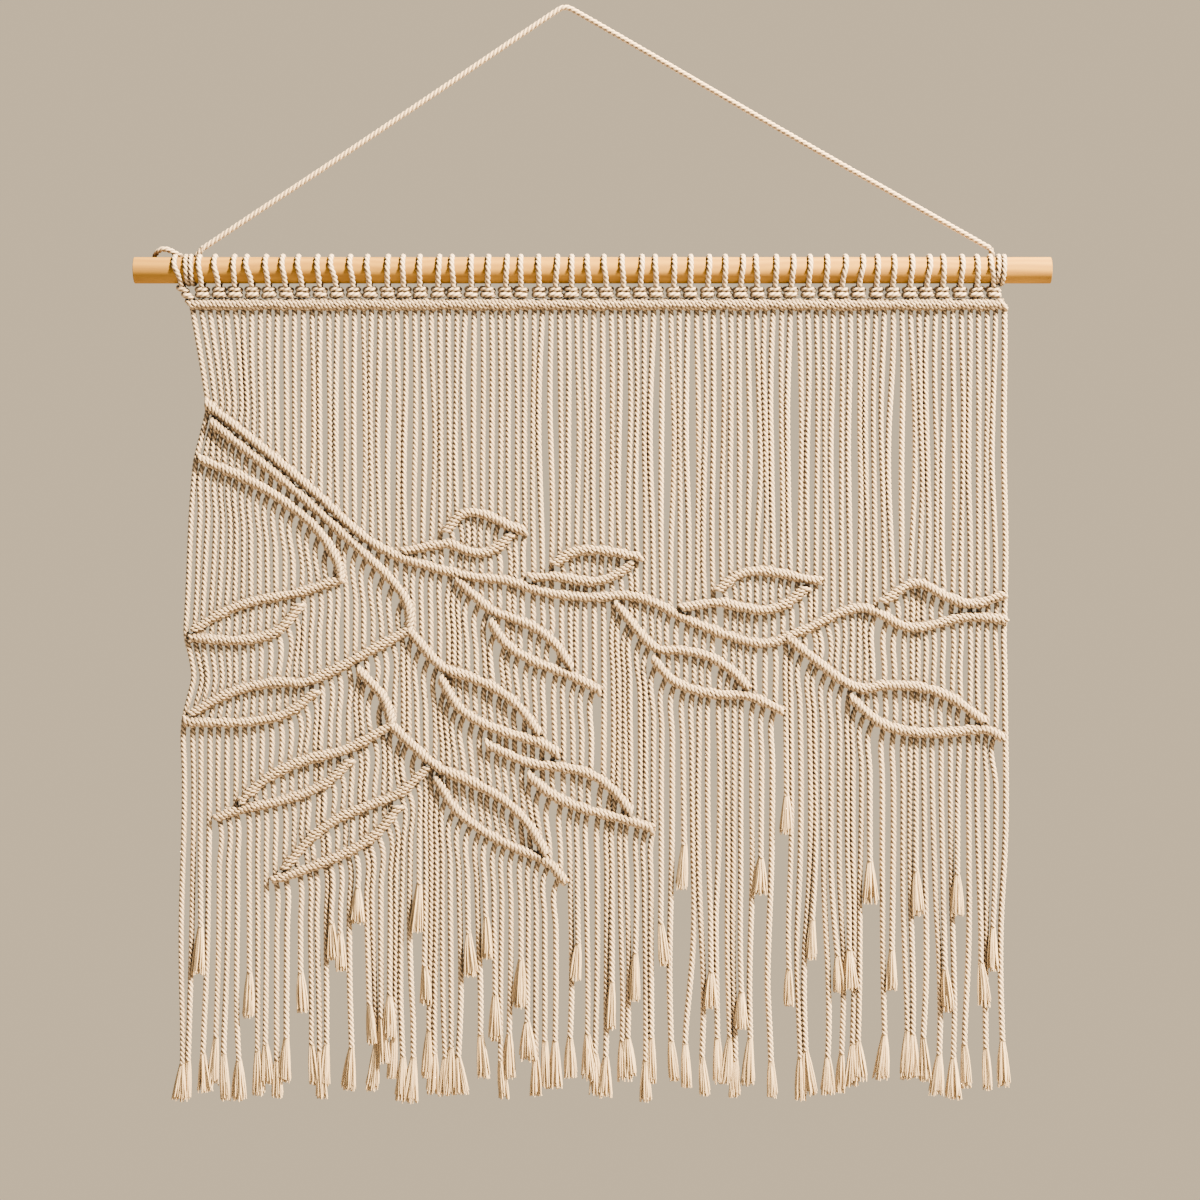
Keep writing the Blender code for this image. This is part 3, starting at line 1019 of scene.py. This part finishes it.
loops = []
knots = []
for index in range(LOOPS):
    knot_x = FIRST_LOOP_X + LOOP_PITCH * index + chance.uniform(-KNOT_SCATTER, KNOT_SCATTER) * MM
    top_x = knot_x + chance.gauss(LEAN_AT_LEFT + LEAN_GROWTH * index / LOOPS, TOP_SCATTER) * MM
    top_x = max(TOPS_BETWEEN[0], min(TOPS_BETWEEN[1], top_x))
    loops.append(Cord(rod_loop(knot_x, top_x), LOOP_CORD / 2))
    for z in KNOT_HEIGHTS:
        half_width = KNOT_HALF_WIDTH + chance.uniform(-WIDTH_SCATTER, WIDTH_SCATTER) * MM
        turn_x = knot_x + chance.uniform(-TURN_SCATTER, TURN_SCATTER) * MM
        tilt = chance.gauss(0, TURN_TILT) * MM
        knots.append(Cord(knot_turn(turn_x, z, tilt, half_width), KNOT_CORD / 2, True))
loops.append(Cord(rod_loop(END_TURNS[0][0], END_LOOP_TOP), LOOP_CORD / 2))
for x, z in END_TURNS:
    knots.append(Cord(knot_turn(x, z, END_TILT, END_HALF_WIDTH), KNOT_CORD / 2, True))
add_piece("rod_loops", loops, bent_sweep, cord_cotton, "heading")
add_piece("heading_knots", knots, bent_sweep, cord_cotton, "heading")

# %% [markdown]
# ## The ties of the hanging cord
# At each end the hanging cord is tied on with tight turns round the rod. Each tie starts where
# the straight leg comes in, over the rod's top. The spare end of the left one rises off the
# rod in a loose arc.

# %% Ties
Tie = namedtuple("Tie", "node leg first_x pitch")
TIES = (
    Tie("cord_wrap_left", route[0], -0.2819, -0.0038),
    Tie("cord_wrap_right", route[-1], 0.3268, 0.0042),
)
TIE_TURNS = 2.25
TIE_STEPS = 20
LOOSE_ARC = (
    (-0.2930, 0.003, -0.1885),
    (-0.2975, -0.001, -0.1862),
    (-0.3028, -0.002, -0.1836),
    (-0.3080, -0.001, -0.1831),
    (-0.3125, 0.002, -0.1855),
    (-0.3150, 0.006, -0.1900),
)


def tie_turns(tie):
    """In from the straight leg, and round the rod."""
    points = [tie.leg, tie.leg.lerp(Vector((tie.first_x, 0, ROD_Z + LOOP_RADIUS)), 0.5)]
    for step in range(round(TIE_TURNS * TIE_STEPS)):
        angle = math.tau * step / TIE_STEPS
        x = tie.first_x + tie.pitch * step / TIE_STEPS
        z = math.cos(angle) * LOOP_RADIUS + ROD_Z
        points.append(Vector((x, math.sin(angle) * LOOP_RADIUS, z)))
    return points


for tie in TIES:
    cords = [Cord(tie_turns(tie), LOOP_CORD / 2)]
    if tie.node == "cord_wrap_left":
        arc = smooth_curve([Vector(place) for place in LOOSE_ARC], POINT_SPACING)
        cords.append(Cord(arc, LOOP_CORD / 2))
    add_piece(tie.node + "_turns", cords, rope_sweep, cord_cotton, tie.node)

# %% [markdown]
# ## Pine
# The rod is a straight-grained pine dowel. Growth rings cut lengthwise make long stripes. The
# rod is thin beside the tree, so its rings pass through it as almost flat layers: a wave across
# the rod's height and depth, which wavers a little along it. Finer streaks lie over that.

# %% Pine finish
WAVES_UP = 900.0
WAVES_DEEP = 500.0
WAVER = 16.0
WAVER_SIZE = (0.09, 0.03, 0.03)
WAVER_DETAIL = 1.0
STREAK_SIZE = (0.05, 0.0009, 0.0009)
STREAK_DETAIL = 3.0
PALE_PINE = (0.31, 0.172, 0.027)
DEEP_PINE = (0.20, 0.102, 0.022)
STREAK_PINE = (0.36, 0.208, 0.030)
STRIPE_SHARE = 0.75
STREAK_SHARE = 0.5

pine = bpy.data.materials.new("pine_dowel")
pine.use_nodes = True
pine_shader = pine.node_tree.nodes["Principled BSDF"]
graph = Graph(pine.node_tree)
place = graph.add("ShaderNodeTexCoord", output="Object")
height = graph.add("ShaderNodeSeparateXYZ", None, {0: place}, output="Z")
depth = graph.add("ShaderNodeSeparateXYZ", None, {0: place}, output="Y")
waver = graph.noise(place, WAVER_SIZE, WAVER_DETAIL)
rings = height * WAVES_UP + depth * WAVES_DEEP + waver * WAVER
stripe = rings.math("SINE", rings) * 0.5 + 0.5
streak = graph.noise(place, STREAK_SIZE, STREAK_DETAIL)
colour = graph.mix(stripe * STRIPE_SHARE, PALE_PINE, DEEP_PINE)
colour = graph.mix(streak * STREAK_SHARE, colour, STREAK_PINE)
bump = graph.add("ShaderNodeBump", None, {"Strength": 0.15, "Distance": 0.0002, "Height": streak})
graph.plug(pine_shader.inputs["Base Color"], colour)
graph.plug(pine_shader.inputs["Normal"], bump)
pine_shader.inputs["Roughness"].default_value = 0.7
pine_shader.inputs["Specular IOR Level"].default_value = 0.05
print("rod's finish is", pine.name)

# %% [markdown]
# ## The rod
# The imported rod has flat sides, which show as bands under a low light. So it is turned again
# in its place, as long and as thick, with many more sides and with sanded edges.

# %% Rod
ROD_SEGMENTS = 96
ROD_EDGE = 0.0005
SHARP_ANGLE = math.radians(25)

rod_low, rod_high = (Vector(corner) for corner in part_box("rod"))
lying = Matrix.Translation((rod_low + rod_high) / 2) @ Matrix.Rotation(math.radians(90), 4, "Y")
dowel = bmesh.new()
bmesh.ops.create_cone(
    dowel,
    cap_ends=True,
    segments=ROD_SEGMENTS,
    radius1=ROD_RADIUS,
    radius2=ROD_RADIUS,
    depth=rod_high.x - rod_low.x,
    matrix=lying,
)
rims = [edge for edge in dowel.edges if edge.calc_length() < ROD_RADIUS]
bmesh.ops.bevel(
    dowel, geom=rims, offset=ROD_EDGE, affect="EDGES", segments=3, profile=0.5, material=-1
)
rod_mesh = bpy.data.meshes.new("round_rod")
dowel.to_mesh(rod_mesh)
dowel.free()
rod_mesh.shade_smooth()
rod_mesh.set_sharp_from_angle(angle=SHARP_ANGLE)
rod_mesh.materials.append(pine)
fasten(add_object("round_rod", rod_mesh), "pine", "rod")
print("rod is", round(rod_high.x - rod_low.x, 3), "m long")

# %% [markdown]
# ## Studio
# A warm key light comes from the upper right, in front, and brings out every ply. A weak cool
# fill stands in front on the left, and a soft light behind is for views of the back. What the
# camera sees round the hanging is a plain warm grey, which hardly lights it. A pale floor lies
# far below.

# %% Lights
Lamp = namedtuple("Lamp", "name place size power colour")
LAMPS = (
    Lamp("key", (1.9, -1.3, 1.9), 0.5, 1850, (1.0, 0.77, 0.475)),
    Lamp("fill", (-0.8, -2.8, -0.6), 1.6, 15, (0.90, 0.95, 1.0)),
    Lamp("rear", (0.0, 3.0, 0.0), 1.2, 90, (1.0, 0.90, 0.75)),
)

for lamp in LAMPS:
    data = bpy.data.lights.new(lamp.name, "AREA")
    data.shape = "DISK"
    data.size = lamp.size
    data.energy = lamp.power
    data.color = lamp.colour
    made = add_object(lamp.name, data)
    made.location = lamp.place
    aim = VIEW_MIDDLE - Vector(lamp.place)
    made.rotation_euler = aim.to_track_quat("-Z", "Y").to_euler()
print(len(LAMPS), "lights aim at the panel's middle")

# %% Surround
SURROUND = (1.0, 0.79, 0.52)
SEEN_STRENGTH = 0.77
LIGHTING_STRENGTH = 0.035

world = bpy.data.worlds.new("studio")
world.use_nodes = True
studio = Graph(world.node_tree)
seen = studio.add("ShaderNodeLightPath", output="Is Camera Ray")
background = world.node_tree.nodes["Background"]
studio.plug(background.inputs["Color"], SURROUND)
studio.plug(background.inputs["Strength"], seen * SEEN_STRENGTH + LIGHTING_STRENGTH)
bpy.context.scene.world = world
print("surround is set")

# %% Floor
FLOOR_Z = -1.9
FLOOR_HALF_SIZE = 3.0
FLOOR_COLOUR = (0.42, 0.36, 0.29, 1.0)

floor_shape = bmesh.new()
bmesh.ops.create_grid(floor_shape, x_segments=1, y_segments=1, size=FLOOR_HALF_SIZE)
bmesh.ops.translate(floor_shape, vec=(0, 0, FLOOR_Z), verts=floor_shape.verts)
floor_mesh = bpy.data.meshes.new("floor")
floor_shape.to_mesh(floor_mesh)
floor_shape.free()
painted = bpy.data.materials.new("painted_floor")
painted.use_nodes = True
painted_shader = painted.node_tree.nodes["Principled BSDF"]
painted_shader.inputs["Base Color"].default_value = FLOOR_COLOUR
painted_shader.inputs["Roughness"].default_value = 0.8
floor_mesh.materials.append(painted)
add_object("floor", floor_mesh)
print("floor lies", -FLOOR_Z, "m below the top of the hanging cord")
